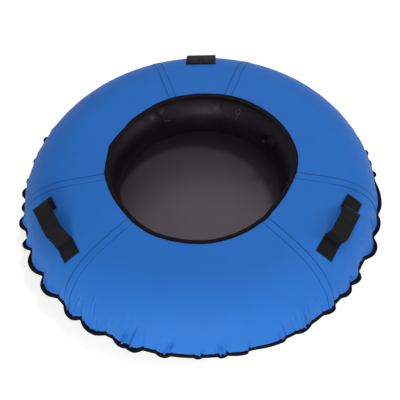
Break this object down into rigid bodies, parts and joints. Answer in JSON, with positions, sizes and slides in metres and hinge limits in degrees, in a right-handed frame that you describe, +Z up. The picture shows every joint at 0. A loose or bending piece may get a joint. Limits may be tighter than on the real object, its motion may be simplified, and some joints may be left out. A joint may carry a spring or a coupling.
{
  "type": "snow tube",
  "caption": "Round inflatable sledging tube: a rubber ring in a sewn cloth cover with a closed seat, webbing grab handles and tow loops.",
  "frame": {"origin": "on the floor under the middle of the ring", "axes": "+Z up out of the seat, +Y towards the tow loops, +X to the rider's right when facing the tow loops"},
  "size_m": [1.0101, 1.0044, 0.2154],
  "materials": {
    "cover_top": "coated woven nylon, soft sheen",
    "cover_base": "heavy coated cloth, slightly shiny",
    "binding": "woven tape, matte",
    "webbing": "ribbed webbing, matte",
    "butyl": "smooth, slightly shiny",
    "valve_metal": "satin",
    "cap_plastic": "matte"
  },
  "bodies": {
    "tube": {"tow_panel": "cover_top", "left_handle_panel": "cover_top", "right_handle_panel": "cover_top", "back_right_panel": "cover_top", "back_left_panel": "cover_top", "front_panel": "cover_top", "seam_tape_1": "binding", "seam_tape_2": "binding", "seam_tape_3": "binding", "seam_tape_4": "binding", "seam_tape_5": "binding", "seam_tape_6": "binding", "rim_binding": "binding", "edge_binding": "binding", "base_cover": "cover_base", "inner_tube": "butyl", "valve_base": "butyl", "valve_stem": "valve_metal", "valve_core": "valve_metal", "left_handle_tab_a": "webbing", "left_handle_tab_b": "webbing", "left_handle_fold_a": "webbing", "left_handle_fold_b": "webbing", "right_handle_tab_a": "webbing", "right_handle_tab_b": "webbing", "right_handle_fold_a": "webbing", "right_handle_fold_b": "webbing", "left_tow_tab": "webbing", "right_tow_tab": "webbing"},
    "left_grip": {"left_handle_grip": "webbing"},
    "right_grip": {"right_handle_grip": "webbing"},
    "left_loop": {"left_tow_loop": "webbing"},
    "right_loop": {"right_tow_loop": "webbing"},
    "cap": {"valve_cap": "cap_plastic"},
    "pin": {"valve_pin": "valve_metal"}
  },
  "joints": [
    {"name": "left_grip_tilt", "type": "hinge", "parent": "tube", "child": "left_grip", "pos_m": [-0.35463, -0.20475, 0.18668], "axis": [0.5, -0.866, 0], "range_deg": [-25, 25], "deforming": ["left_handle_fold_a", "left_handle_fold_b"]},
    {"name": "right_grip_tilt", "type": "hinge", "parent": "tube", "child": "right_grip", "pos_m": [0.35463, -0.20475, 0.18668], "axis": [0.5, 0.866, 0], "range_deg": [-25, 25], "deforming": ["right_handle_fold_a", "right_handle_fold_b"]},
    {"name": "left_loop_lift", "type": "hinge", "parent": "tube", "child": "left_loop", "pos_m": [-0.0228, 0.43363, 0.17216], "axis": [1, 0, 0], "range_deg": [0, 120]},
    {"name": "right_loop_lift", "type": "hinge", "parent": "tube", "child": "right_loop", "pos_m": [0.0228, 0.43363, 0.17216], "axis": [1, 0, 0], "range_deg": [0, 120]},
    {"name": "cap_pull", "type": "slide", "parent": "tube", "child": "cap", "axis": [-0.7722, -0.4459, 0.4526], "range_m": [0, 0.012]},
    {"name": "pin_press", "type": "slide", "parent": "tube", "child": "pin", "axis": [0.7722, 0.4459, -0.4526], "range_m": [0, 0.0012], "stiffness_N_per_m": 500}
  ]
}
